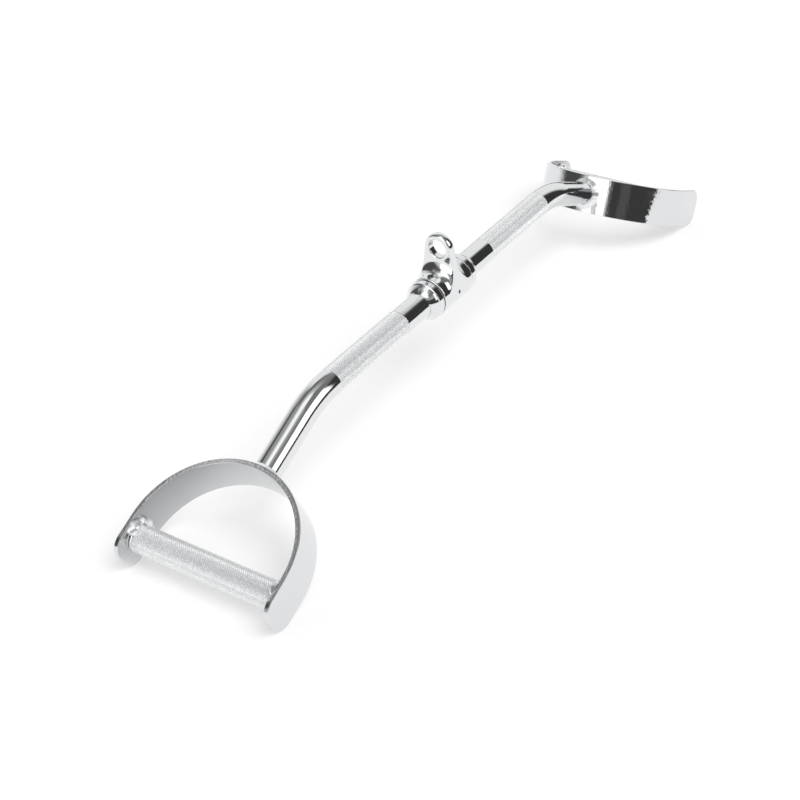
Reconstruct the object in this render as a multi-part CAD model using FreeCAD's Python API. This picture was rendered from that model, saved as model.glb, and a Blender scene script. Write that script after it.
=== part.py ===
import FreeCAD, Part
import math
import os

# A lat pulldown bar: a straight steel bar with both ends bent down, a D-shaped strap (stirrup) welded
# to each end with a grip welded across it, and a revolving hanger between two collars in the middle.
# Millimetres, +Z up, +X along the bar. It stands on the free ends of its stirrups, and the origin is on
# that surface, under the middle of the hanger.

Vector = FreeCAD.Vector
across = Vector(0, 1, 0)
along = Vector(1, 0, 0)
upward = Vector(0, 0, 1)
centre = Vector(0, 0, 0)
full_turn = 360.0
half_turn = 180.0
overrun = 6.0

# Fits and running gaps
turning_clearance = 0.06
fixed_clearance = 0.03
weld_clearance = 0.05
end_float = 0.3

# Main bar
bar_diameter = 25.4
bend_corner_reach = 201.0
bend_angle = 25.0
bend_radius = 97.0
leg_length = 81.0

# Stirrup, a flat strap bent to a half circle with two straight arms
stirrup_outside_width = 162.0
stirrup_arm_length = 35.0
strap_width = 39.0
strap_thickness = 4.5
strap_end_corner_radius = 14.0
strap_edge_radius = 0.7
stirrup_weld_leg = 4.0
weld_toe = 0.5

# Grip, a solid round bar between the arms near their free ends, welded on the side that faces the crown
grip_place_on_arm = 11.0
grip_diameter = 25.4
grip_weld_leg = 4.6
grip_weld_start_angle = 70.0
grip_weld_sweep_angle = 220.0

# Hanger, a barrel on the bar with an upright ear and eye
barrel_diameter = 40.0
barrel_length = 46.0
barrel_end_chamfer = 0.8
ear_thickness = 8.0
eye_height = 42.0
eye_outside_diameter = 29.0
eye_hole_diameter = 18.2
eye_edge_radius = 1.2
ear_fillet_radius = 12.5
oil_hole_diameter = 3.0
hanger_bush_wall = 2.4

# Thrust washers and collars
washer_thickness = 1.0
washer_diameter = 37.4
collar_diameter = 37.8
collar_rim_length = 6.6
collar_rim_step = 0.9
collar_shoulder_length = 7.6
collar_shoulder_bulge = 0.4
collar_end_diameter = 27.6
collar_edge_chamfer = 0.4

# Set screws, pointing down and a little to the front
screw_diameter = 5.0
screw_sink = 0.9
screw_socket_across_flats = 2.5
screw_socket_depth = 2.6
screw_chamfer = 0.4
screw_angle_from_down = 20.0
hexagon_sides = 6

# Sizes worked out from the ones above
bar_radius = bar_diameter / 2
bend = math.radians(bend_angle)
bend_tangent = bend_radius * math.tan(bend / 2)
arch_radius = stirrup_outside_width / 2
arch_inner_radius = arch_radius - strap_thickness
half_strap_width = strap_width / 2
grip_radius = grip_diameter / 2
barrel_radius = barrel_diameter / 2
hanger_bush_radius = bar_radius + turning_clearance + hanger_bush_wall
washer_start = barrel_length / 2 + end_float
collar_start = washer_start + washer_thickness + fixed_clearance
collar_radius = collar_diameter / 2
stirrup_depth = arch_radius + stirrup_arm_length
crown_x = bend_corner_reach + leg_length * math.cos(bend)
crown_z = -leg_length * math.sin(bend)
grip_reach = arch_radius + grip_place_on_arm

# The lowest point of a stirrup lies on the lower rounded corner of its arms' ends
corner_reach = stirrup_depth - strap_end_corner_radius
corner_drop = half_strap_width - strap_end_corner_radius
stirrup_drop = corner_reach * math.sin(bend) + corner_drop * math.cos(bend) + strap_end_corner_radius
stand_height = stirrup_drop - crown_z


def cylinder_along(direction, radius, start, end, offset=centre):
    base = offset + direction * start
    return Part.makeCylinder(radius, end - start, base, direction)


def ring_along(direction, outer_radius, inner_radius, start, end, offset=centre):
    outer = cylinder_along(direction, outer_radius, start, end, offset)
    hole = cylinder_along(direction, inner_radius, start - overrun, end + overrun, offset)
    return outer.cut(hole)


def line(start, end):
    return Part.LineSegment(start, end).toShape()


def arc(start, middle, end):
    return Part.Arc(start, middle, end).toShape()


def circular_edges(shape, radius):
    tolerance = fixed_clearance / 2
    found = []
    for edge in shape.Edges:
        if isinstance(edge.Curve, Part.Circle) and abs(edge.Curve.Radius - radius) < tolerance:
            found.append(edge)
    return found


def mirrored(shape):
    return shape.mirror(centre, along)


def on_end(shape):
    """Places a shape drawn in the stirrup's own frame, with X out from the crown and Z across the strap."""
    placed = shape.copy()
    placed.rotate(centre, across, bend_angle)
    placed.translate(Vector(crown_x, 0, crown_z))
    return placed


def crown_cutter(clearance):
    reach = half_strap_width + overrun
    offset = Vector(arch_radius, 0, 0)
    return cylinder_along(upward, arch_radius + clearance, -reach, reach, offset)


def bar_end():
    """One bent end: the arc of the bend and the straight leg, whose end is hollowed to seat on the crown."""
    bend_start = Vector(bend_corner_reach - bend_tangent, 0, 0)
    section = Part.Face(Part.Wire(Part.Circle(bend_start, along, bar_radius).toShape()))
    bent = section.revolve(bend_start - upward * bend_radius, across, bend_angle)
    leg = cylinder_along(along, bar_radius, bend_tangent - leg_length, overrun)
    leg = on_end(leg.cut(crown_cutter(weld_clearance)))
    return bent.fuse(leg)


def main_bar():
    straight = bend_corner_reach - bend_tangent
    middle = cylinder_along(along, bar_radius, -straight, straight)
    right = bar_end()
    return middle.fuse([right, mirrored(right)]).removeSplitter()


def strap_band():
    """The bent strap seen square to its plane, before its ends are rounded."""
    outer = arch_radius
    inner = arch_inner_radius
    depth = stirrup_depth
    edges = [
        line(Vector(depth, -outer, 0), Vector(outer, -outer, 0)),
        arc(Vector(outer, -outer, 0), centre, Vector(outer, outer, 0)),
        line(Vector(outer, outer, 0), Vector(depth, outer, 0)),
        line(Vector(depth, outer, 0), Vector(depth, inner, 0)),
        line(Vector(depth, inner, 0), Vector(outer, inner, 0)),
        arc(Vector(outer, inner, 0), Vector(strap_thickness, 0, 0), Vector(outer, -inner, 0)),
        line(Vector(outer, -inner, 0), Vector(depth, -inner, 0)),
        line(Vector(depth, -inner, 0), Vector(depth, -outer, 0)),
    ]
    band = Part.Face(Part.Wire(edges)).extrude(upward * strap_width)
    band.translate(upward * -half_strap_width)
    return band


def strap_side():
    """The strap's outline seen from its side, with the corners of its ends rounded."""
    half = half_strap_width
    corner = strap_end_corner_radius
    depth = stirrup_depth
    diagonal = corner * math.sqrt(0.5)
    side = -arch_radius - overrun
    back = -overrun
    edges = [
        line(Vector(back, side, -half), Vector(depth - corner, side, -half)),
        arc(
            Vector(depth - corner, side, -half),
            Vector(depth - corner + diagonal, side, corner - half - diagonal),
            Vector(depth, side, corner - half),
        ),
        line(Vector(depth, side, corner - half), Vector(depth, side, half - corner)),
        arc(
            Vector(depth, side, half - corner),
            Vector(depth - corner + diagonal, side, half - corner + diagonal),
            Vector(depth - corner, side, half),
        ),
        line(Vector(depth - corner, side, half), Vector(back, side, half)),
        line(Vector(back, side, half), Vector(back, side, -half)),
    ]
    return Part.Face(Part.Wire(edges)).extrude(across * (-side - side))


def stirrup():
    strap = strap_band().common(strap_side())
    # The rim edges are eased; the joints between its flat and bent stretches are left alone
    eased = []
    for edge in strap.Edges:
        if not isinstance(edge.Curve, Part.Line):
            eased.append(edge)
            continue
        direction = edge.Curve.Direction
        beyond_arch = edge.CenterOfMass.x > arch_radius + strap_edge_radius
        runs_out = abs(direction.dot(along)) > math.cos(bend)
        closes_end = abs(direction.dot(upward)) > math.cos(bend) and beyond_arch
        if runs_out or closes_end:
            eased.append(edge)
    return on_end(strap.makeFillet(strap_edge_radius, eased))


def stirrup_weld():
    foot_radius = bar_radius + stirrup_weld_leg
    leg_start = along * -stirrup_weld_leg
    cone = Part.makeCone(bar_radius + weld_toe, foot_radius, stirrup_weld_leg, leg_start, along)
    skirt = cylinder_along(along, foot_radius, 0, overrun)
    bead = cone.fuse(skirt).cut(crown_cutter(weld_clearance))
    bore = cylinder_along(along, bar_radius + weld_clearance, -stirrup_weld_leg - overrun, overrun * 2)
    return on_end(bead.cut(bore).removeSplitter())


def stirrup_inside():
    """The space inside the strap, from which what is welded there is cut."""
    radius = arch_inner_radius - weld_clearance
    tall = strap_width + overrun * 2
    arch = Part.makeCylinder(radius, tall, Vector(arch_radius, 0, -tall / 2), upward)
    arms = Part.makeBox(stirrup_depth, radius * 2, tall, Vector(arch_radius, -radius, -tall / 2))
    return arch.fuse(arms).removeSplitter()


def grip_axis():
    return Vector(grip_reach, 0, 0)


def grip():
    blank = cylinder_along(across, grip_radius, -arch_radius, arch_radius, grip_axis())
    return on_end(blank.common(stirrup_inside()))


def grip_weld(side):
    """The fillet bead at one end of the grip; side is 1 for the back arm and -1 for the front one."""
    seat = side * arch_inner_radius
    inward = -side * grip_weld_leg
    root = grip_radius + weld_clearance
    corners = [
        Vector(grip_reach + root, seat, 0),
        Vector(grip_reach + root + grip_weld_leg, seat, 0),
        Vector(grip_reach + root + weld_toe, seat + inward, 0),
        Vector(grip_reach + root, seat + inward, 0),
    ]
    corners.append(corners[0])
    profile = Part.Face(Part.makePolygon(corners))
    # Angles run from the open end of the stirrup over its upper rim towards the crown
    profile.rotate(grip_axis(), across, -grip_weld_start_angle)
    bead = profile.revolve(grip_axis(), across, -grip_weld_sweep_angle)
    return on_end(bead.common(stirrup_inside()))


def ear_prism(half_thickness):
    """The hanger's tear-drop section: round the barrel below and round the eye above, with tangent sides."""
    eye_radius = eye_outside_diameter / 2
    lean = math.asin((barrel_radius - eye_radius) / eye_height)
    back = -half_thickness

    def point(radius, height, turn):
        return Vector(back, radius * math.cos(turn), height + radius * math.sin(turn))

    front_low = point(barrel_radius, 0, math.pi - lean)
    front_high = point(eye_radius, eye_height, math.pi - lean)
    back_low = point(barrel_radius, 0, lean)
    back_high = point(eye_radius, eye_height, lean)
    edges = [
        line(back_low, back_high),
        arc(back_high, point(eye_radius, eye_height, math.pi / 2), front_high),
        line(front_high, front_low),
        arc(front_low, point(barrel_radius, 0, -math.pi / 2), back_low),
    ]
    return Part.Face(Part.Wire(edges)).extrude(along * (half_thickness * 2))


def ear_fillet():
    """The hollow fillet between the ear's right face and the barrel, turned about the bar's axis."""
    start = ear_thickness / 2
    reach = ear_fillet_radius
    end = start + reach
    inside = barrel_radius - hanger_bush_wall
    diagonal = reach * math.sqrt(0.5)
    edges = [
        line(Vector(0, 0, inside), Vector(0, 0, barrel_radius + reach)),
        line(Vector(0, 0, barrel_radius + reach), Vector(start, 0, barrel_radius + reach)),
        arc(
            Vector(start, 0, barrel_radius + reach),
            Vector(end - diagonal, 0, barrel_radius + reach - diagonal),
            Vector(end, 0, barrel_radius),
        ),
        line(Vector(end, 0, barrel_radius), Vector(end, 0, inside)),
        line(Vector(end, 0, inside), Vector(0, 0, inside)),
    ]
    profile = Part.Face(Part.Wire(edges))
    return profile.revolve(centre, along, full_turn).common(ear_prism(end))


def hanger():
    half = barrel_length / 2
    barrel = cylinder_along(along, barrel_radius, -half, half)
    barrel = barrel.makeChamfer(barrel_end_chamfer, circular_edges(barrel, barrel_radius))
    fillet = ear_fillet()
    body = barrel.fuse([ear_prism(ear_thickness / 2), fillet, mirrored(fillet)])
    bore = cylinder_along(along, hanger_bush_radius + fixed_clearance, -half - overrun, half + overrun)
    eye = upward * eye_height
    hole_radius = eye_hole_diameter / 2
    hole_half = ear_thickness / 2
    hole = cylinder_along(along, hole_radius, -hole_half - overrun, hole_half + overrun, eye)
    oil_hole = cylinder_along(-across, oil_hole_diameter / 2, 0, barrel_radius + overrun)
    body = body.cut([bore, hole, oil_hole]).removeSplitter()
    return body.makeFillet(eye_edge_radius, circular_edges(body, hole_radius))


def hanger_bush():
    half = barrel_length / 2
    return ring_along(along, hanger_bush_radius, bar_radius + turning_clearance, -half, half)


def thrust_washer():
    end = washer_start + washer_thickness
    return ring_along(along, washer_diameter / 2, bar_radius + fixed_clearance, washer_start, end)


def screw_direction():
    turn = math.radians(screw_angle_from_down)
    return Vector(0, -math.sin(turn), -math.cos(turn))


def screw_seat():
    return along * (collar_start + collar_rim_length / 2)


def collar():
    """A turned collar: a straight rim beside the washer, and a full shoulder that narrows to the bar."""
    start = collar_start
    chamfer = collar_edge_chamfer
    rim_end = start + collar_rim_length
    shoulder_top = collar_radius - collar_rim_step
    shoulder_foot = collar_end_diameter / 2
    shoulder_end = rim_end + collar_shoulder_length
    drop = shoulder_top - shoulder_foot
    slant = math.hypot(collar_shoulder_length, drop)
    swell_out = collar_shoulder_bulge * drop / slant
    swell_up = collar_shoulder_bulge * collar_shoulder_length / slant
    collar_end = shoulder_end + chamfer
    bore = bar_radius + fixed_clearance
    edges = [
        line(Vector(start, 0, bore), Vector(start, 0, collar_radius - chamfer)),
        line(Vector(start, 0, collar_radius - chamfer), Vector(start + chamfer, 0, collar_radius)),
        line(Vector(start + chamfer, 0, collar_radius), Vector(rim_end - chamfer, 0, collar_radius)),
        line(Vector(rim_end - chamfer, 0, collar_radius), Vector(rim_end, 0, shoulder_top)),
        arc(
            Vector(rim_end, 0, shoulder_top),
            Vector((rim_end + shoulder_end) / 2 + swell_out, 0, (shoulder_top + shoulder_foot) / 2 + swell_up),
            Vector(shoulder_end, 0, shoulder_foot),
        ),
        line(Vector(shoulder_end, 0, shoulder_foot), Vector(collar_end, 0, shoulder_foot - chamfer)),
        line(Vector(collar_end, 0, shoulder_foot - chamfer), Vector(collar_end, 0, bore)),
        line(Vector(collar_end, 0, bore), Vector(start, 0, bore)),
    ]
    ring = Part.Face(Part.Wire(edges)).revolve(centre, along, full_turn)
    hole_radius = screw_diameter / 2 + fixed_clearance
    hole = cylinder_along(screw_direction(), hole_radius, 0, collar_radius + overrun, screw_seat())
    return ring.cut(hole)


def collar_screw():
    direction = screw_direction()
    tip = bar_radius + fixed_clearance
    head = collar_radius - screw_sink
    body = cylinder_along(direction, screw_diameter / 2, tip, head, screw_seat())
    body = body.makeChamfer(screw_chamfer, circular_edges(body, screw_diameter / 2))
    corner_radius = screw_socket_across_flats / 2 / math.cos(math.pi / hexagon_sides)
    socket_floor = screw_seat() + direction * (head - screw_socket_depth)
    sideways = direction.cross(along)
    corners = []
    for index in range(hexagon_sides):
        turn = 2 * math.pi * index / hexagon_sides
        corner = along * (corner_radius * math.cos(turn)) + sideways * (corner_radius * math.sin(turn))
        corners.append(socket_floor + corner)
    corners.append(corners[0])
    socket = Part.Face(Part.makePolygon(corners)).extrude(direction * (screw_socket_depth + overrun))
    return body.cut(socket)


def write(name, shape):
    lifted = shape.copy()
    lifted.translate(upward * stand_height)
    solids = len(lifted.Solids)
    lifted.exportStep(os.path.join("parts", name + ".step"))
    box = lifted.BoundBox
    print(
        f"{name}: {solids} solid, valid {lifted.isValid()}, {lifted.Volume:.0f} mm3,"
        f" z {box.ZMin:.2f} to {box.ZMax:.2f}"
    )


def write_pair(name, shape):
    write("right_" + name, shape)
    write("left_" + name, mirrored(shape))


os.makedirs("parts", exist_ok=True)
write("main_bar", main_bar())
write("hanger", hanger())
write("hanger_bush", hanger_bush())
write_pair("thrust_washer", thrust_washer())
write_pair("collar", collar())
write_pair("collar_screw", collar_screw())
write_pair("stirrup", stirrup())
write_pair("stirrup_weld", stirrup_weld())
write_pair("grip", grip())
for arm, side in (("front", -1), ("back", 1)):
    write_pair(arm + "_grip_weld", grip_weld(side))
print(f"bar axis {stand_height:.2f} mm above the surface")
print(f"crown at x {crown_x:.2f}, z {stand_height + crown_z:.2f}")
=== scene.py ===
import math

import bmesh
import bpy
from mathutils import Matrix, Vector, noise


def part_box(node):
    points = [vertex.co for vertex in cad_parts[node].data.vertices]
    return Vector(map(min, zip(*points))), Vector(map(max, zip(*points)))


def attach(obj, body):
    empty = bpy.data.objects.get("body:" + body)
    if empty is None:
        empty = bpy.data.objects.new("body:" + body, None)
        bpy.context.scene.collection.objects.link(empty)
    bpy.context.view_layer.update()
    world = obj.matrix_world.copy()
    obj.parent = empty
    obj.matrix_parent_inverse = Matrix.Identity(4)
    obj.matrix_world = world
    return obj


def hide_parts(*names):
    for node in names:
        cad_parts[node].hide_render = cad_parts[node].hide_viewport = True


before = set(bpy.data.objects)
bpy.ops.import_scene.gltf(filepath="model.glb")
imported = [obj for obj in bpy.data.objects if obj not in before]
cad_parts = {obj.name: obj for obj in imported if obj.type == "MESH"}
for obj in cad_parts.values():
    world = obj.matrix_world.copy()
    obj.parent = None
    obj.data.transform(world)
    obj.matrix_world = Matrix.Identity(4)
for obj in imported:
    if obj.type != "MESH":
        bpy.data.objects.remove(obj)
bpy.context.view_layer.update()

# The lat pulldown bar dressed for the camera. Metres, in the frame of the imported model: X along the bar,
# Y along the grips, Z up.
print("frame loaded with", len(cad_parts), "nodes")

bushLow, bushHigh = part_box("hanger_bush")
barAxis = (bushLow.z + bushHigh.z) / 2
sides = {"left": Matrix.Scale(-1, 4, (1, 0, 0)), "right": Matrix.Identity(4)}
quarterTurn = math.pi / 2
fullTurn = math.pi * 2
everySide = 96  # sides of a round piece
plainSharp = math.radians(40.0)  # an edge that turns more than this stays crisp, where a piece says no other
mergeGap = 0.000001  # corners closer than this are one corner
cutGap = 0.0000001  # corners closer than this to a cutting plane lie on it


def linear(hexText):
    # sRGB hex to the linear colour that a shader takes
    channels = []
    for start in (0, 2, 4):
        value = int(hexText[start:start + 2], 16) / 255
        channels.append(value / 12.92 if value <= 0.04045 else ((value + 0.055) / 1.055) ** 2.4)
    return (*channels, 1.0)


def addNode(tree, kind, settings=None, links=None):
    # settings go to the node's inputs or to its own properties, links to its inputs
    node = tree.nodes.new(kind)
    for name, value in (settings or {}).items():
        if isinstance(name, int) or name in node.inputs:
            node.inputs[name].default_value = value
        else:
            setattr(node, name, value)
    for name, source in (links or {}).items():
        tree.links.new(source, node.inputs[name])
    return node


def perMetre(millimetres):
    # the texture scale at which a pattern repeats once in that many millimetres
    return 1000 / millimetres


def newMaterial(name):
    material = bpy.data.materials.new(name)
    material.use_nodes = True
    material.node_tree.nodes.clear()
    return material, material.node_tree


def platedMaterial(name, values):
    # A polished or plated metal: a mirror that is a little wavy from the work under it, with faint smears
    # and hairlines that catch the light. Where the mesh's mask is 1 it turns to a second colour and gloss;
    # that colour is
    # painted light: painted shade in knurl grooves, a painted sheen on the stirrups' inner faces.
    # Sizes of patterns are in millimetres, depths of bumps in metres.
    maskFrom, maskTo = values["maskRange"]
    dullFrom, dullTo = values["dullRange"]
    material, tree = newMaterial(name)
    place = addNode(tree, "ShaderNodeTexCoord").outputs["Object"]
    smears = addNode(tree, "ShaderNodeTexNoise", {
        "Scale": perMetre(values["smearSize"]), "Detail": 3.0, "Roughness": 0.6,
    }, {"Vector": place})
    along = addNode(tree, "ShaderNodeMapping", {"Scale": values["hairlineStretch"]}, {"Vector": place})
    hairlines = addNode(tree, "ShaderNodeTexNoise", {
        "Scale": perMetre(values["hairlineSize"]), "Detail": 2.0, "Roughness": 0.5,
    }, {"Vector": along.outputs["Vector"]})
    waves = addNode(tree, "ShaderNodeTexNoise", {
        "Scale": perMetre(values["waveSize"]), "Detail": 1.0, "Roughness": 0.4,
    }, {"Vector": place})
    mask = addNode(tree, "ShaderNodeAttribute", {"attribute_name": "mask"})
    maskBreak = addNode(tree, "ShaderNodeMapRange", {
        "From Min": maskFrom, "From Max": maskTo,
        "To Min": values["maskLeast"], "To Max": values["maskMost"],
    }, {"Value": smears.outputs["Fac"]})
    masked = addNode(tree, "ShaderNodeMath", {"operation": "MULTIPLY", "use_clamp": True}, {
        0: mask.outputs["Fac"], 1: maskBreak.outputs["Result"],
    })
    colour = addNode(tree, "ShaderNodeMix", {
        "data_type": "RGBA", 6: linear(values["colour"]), 7: linear(values["maskColour"]),
    }, {0: masked.outputs["Value"]})
    smearDull = addNode(tree, "ShaderNodeMapRange", {
        "From Min": dullFrom, "From Max": dullTo,
        "To Min": values["roughnessLeast"], "To Max": values["roughnessMost"],
    }, {"Value": smears.outputs["Fac"]})
    dull = addNode(tree, "ShaderNodeMath", {"operation": "MULTIPLY_ADD", 1: values["maskRoughness"]}, {
        0: masked.outputs["Value"], 2: smearDull.outputs["Result"],
    })
    waveBump = addNode(tree, "ShaderNodeBump", {
        "Strength": 1.0, "Distance": values["waveDepth"],
    }, {"Height": waves.outputs["Fac"]})
    hairBump = addNode(tree, "ShaderNodeBump", {
        "Strength": 1.0, "Distance": values["hairlineDepth"],
    }, {"Height": hairlines.outputs["Fac"], "Normal": waveBump.outputs["Normal"]})
    shader = addNode(tree, "ShaderNodeBsdfPrincipled", {"Metallic": values["metallic"]}, {
        "Base Color": colour.outputs[2], "Roughness": dull.outputs["Value"],
        "Normal": hairBump.outputs["Normal"],
    })
    addNode(tree, "ShaderNodeOutputMaterial", links={"Surface": shader.outputs["BSDF"]})
    return material


chromeValues = {
    "maskRange": (0.35, 0.65),  # the part of the smears' noise over which the mask breaks up
    "dullRange": (0.35, 0.7),  # and the part over which the gloss changes
    "colour": "E5E6E7", "maskColour": "8A8885", "maskLeast": 0.0, "maskMost": 0.5, "maskRoughness": 0.3,
    "metallic": 1.0, "roughnessLeast": 0.03, "roughnessMost": 0.12, "smearSize": 28.0,
    "hairlineSize": 2.0, "hairlineStretch": (0.3, 1.0, 1.0), "hairlineDepth": 0.000015,
    "waveSize": 22.0, "waveDepth": 0.00006,
}
# Chrome plate on drawn and polished bar: hairlines run along the bar
chromedBar = platedMaterial("bright chrome plate on polished bar", chromeValues)
# Chrome plate on flat strap: the polishing went round the bend, and leaves ragged edges on what it mirrors
chromedStrap = platedMaterial("bright chrome plate on polished strap", {
    **chromeValues, "colour": "DFE0E2", "maskMost": 0.0, "hairlineSize": 2.5,
    "hairlineStretch": (1.0, 1.0, 0.4), "hairlineDepth": 0.00008, "waveSize": 40.0, "waveDepth": 0.0001,
})
# Chrome plate inside the bend, where the polishing wheel hardly reaches: a grey satin, which the mask turns
# glossier towards the open end, the lower rim and the crown, and paints paler there: a painted sheen for
# brighter reflections
satinStrapWithPaintedSheen = platedMaterial("satin chrome plate on strap with painted sheen", {
    **chromeValues, "colour": "A3A5A7", "maskColour": "E9EAEB", "maskLeast": 0.9, "maskMost": 1.0,
    "maskRoughness": -0.12, "roughnessLeast": 0.20, "roughnessMost": 0.30, "hairlineSize": 0.8,
    "hairlineStretch": (1.0, 1.0, 0.2), "hairlineDepth": 0.000001, "waveDepth": 0.00002,
})
# Chrome plate on a steel casting: softer, wavier reflections, because a casting is only ground by hand
chromedCasting = platedMaterial("bright chrome plate on casting", {
    **chromeValues, "roughnessLeast": 0.04, "roughnessMost": 0.10, "waveSize": 9.0, "waveDepth": 0.00008,
    "hairlineSize": 3.0, "hairlineStretch": (1.0, 1.0, 1.0), "hairlineDepth": 0.000015,
})
# Chrome plate on turned collars: fine marks of the lathe run round them
chromedCollar = platedMaterial("bright chrome plate on turned steel", {
    **chromeValues, "hairlineSize": 0.5, "hairlineStretch": (1.0, 0.05, 0.05), "waveDepth": 0.00002,
})
# Chrome plate over the rough top of a weld bead: dull mirror with small pits
chromedWeld = platedMaterial("chrome plate on weld bead", {
    **chromeValues, "colour": "F2F3F4", "metallic": 0.8, "roughnessLeast": 0.22, "roughnessMost": 0.34,
    "waveSize": 2.6, "waveDepth": 0.00004, "hairlineStretch": (1.0, 1.0, 1.0),
})
# Chrome plate over diamond knurling: bright and grainy, because each small pyramid throws the light another
# way. The grooves get painted shade in patches of 2.6 mm, coarser than real, because single ones are too
# fine to show.
chromedKnurl = platedMaterial("chrome plate over diamond knurling", {
    **chromeValues, "colour": "FAFBFC", "metallic": 0.6, "roughnessLeast": 0.13, "roughnessMost": 0.22,
    "smearSize": 2.6, "maskColour": "646464", "maskLeast": 0.15, "maskMost": 0.5, "waveSize": 2.6,
    "waveDepth": 0.00003,
})
# Turned steel, oiled: a grey satin ring
turnedSteel = platedMaterial("turned steel, oiled", {
    **chromeValues, "colour": "A7A9AC", "roughnessLeast": 0.22, "roughnessMost": 0.34, "hairlineSize": 0.4,
    "hairlineStretch": (1.0, 0.05, 0.05), "hairlineDepth": 0.000004,
})
# Sintered bronze, oiled: warm brown metal with open pores, which the coarse bump stands for
sinteredBronze = platedMaterial("sintered bronze, oiled", {
    **chromeValues, "colour": "B08A4A", "roughnessLeast": 0.28, "roughnessMost": 0.42, "waveSize": 0.5,
    "waveDepth": 0.00004,
})
# Black oxide on alloy steel: nearly black, with a soft oily shine
blackOxide = platedMaterial("black oxide on steel screw", {
    **chromeValues, "colour": "3A3A3D", "roughnessLeast": 0.28, "roughnessMost": 0.4, "waveSize": 1.0,
    "waveDepth": 0.00002,
})
print("materials made")


def whole(bm):
    return bm.verts[:] + bm.edges[:] + bm.faces[:]


def vertsOf(geom):
    return [item for item in geom if isinstance(item, bmesh.types.BMVert)]


def edgesOf(geom):
    return [item for item in geom if isinstance(item, bmesh.types.BMEdge)]


def rimsOf(bm):
    return [edge for edge in bm.edges if edge.is_boundary]


def finishPiece(name, bm, materials, body, node, sharp=plainSharp):
    bmesh.ops.remove_doubles(bm, verts=bm.verts, dist=mergeGap)
    bmesh.ops.recalc_face_normals(bm, faces=bm.faces)
    mesh = bpy.data.meshes.new(name)
    bm.to_mesh(mesh)
    bm.free()
    for material in materials:
        mesh.materials.append(material)
    mesh.shade_smooth()
    mesh.set_sharp_from_angle(angle=sharp)
    piece = bpy.data.objects.new(name, mesh)
    bpy.context.scene.collection.objects.link(piece)
    weighted = piece.modifiers.new("even normals", "WEIGHTED_NORMAL")
    weighted.keep_sharp = True
    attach(piece, body)
    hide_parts(node)
    print(name, len(mesh.polygons), "faces")


def turned(outline, steps=everySide, segments=5):
    # outline is a closed loop of (place along X, radius, rounding of that corner), spun about X
    bm = bmesh.new()
    corners = []
    for place, radius, rounding in outline:
        corners.append(bm.verts.new((place, 0, radius)))
    for index, corner in enumerate(corners):
        bm.edges.new((corners[index - 1], corner))
    for corner, (place, radius, rounding) in zip(corners, outline):
        if rounding:
            bmesh.ops.bevel(
                bm, geom=[corner], offset=rounding, segments=segments, profile=0.5, affect="VERTICES",
                material=-1,
            )
    bmesh.ops.spin(
        bm, geom=bm.verts[:] + bm.edges[:], cent=(0, 0, 0), axis=(1, 0, 0), angle=fullTurn, steps=steps,
        use_merge=True,
    )
    return bm


def rod(bm, radius, start, end, edge):
    # a plain round stretch along X with eased ends
    made = bmesh.ops.create_circle(bm, cap_ends=True, segments=everySide, radius=radius)
    ring = made["verts"]
    bmesh.ops.rotate(bm, verts=ring, cent=(0, 0, 0), matrix=Matrix.Rotation(quarterTurn, 3, "Y"))
    bmesh.ops.translate(bm, verts=ring, vec=(start, 0, 0))
    disc = [face for face in bm.faces if ring[0] in face.verts]
    grown = bmesh.ops.extrude_face_region(bm, geom=disc, use_keep_orig=True)["geom"]
    far = vertsOf(grown)
    bmesh.ops.translate(bm, verts=far, vec=(end - start, 0, 0))
    rims = set()
    for corner in ring + far:
        for side in corner.link_edges:
            if abs(side.verts[0].co.x - side.verts[1].co.x) < edge:
                rims.add(side)
    bmesh.ops.bevel(bm, geom=list(rims), offset=edge, segments=2, profile=0.5, affect="EDGES", material=-1)


knurlValues = {
    # across one diamond, round the bar; coarser than the real ones, which are too fine to show
    "pitch": 0.0021,
    "depth": 0.00024,
    "slope": 0.0003,  # width of a pyramid's side, so its sides stand at about 40 degrees
}


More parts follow.
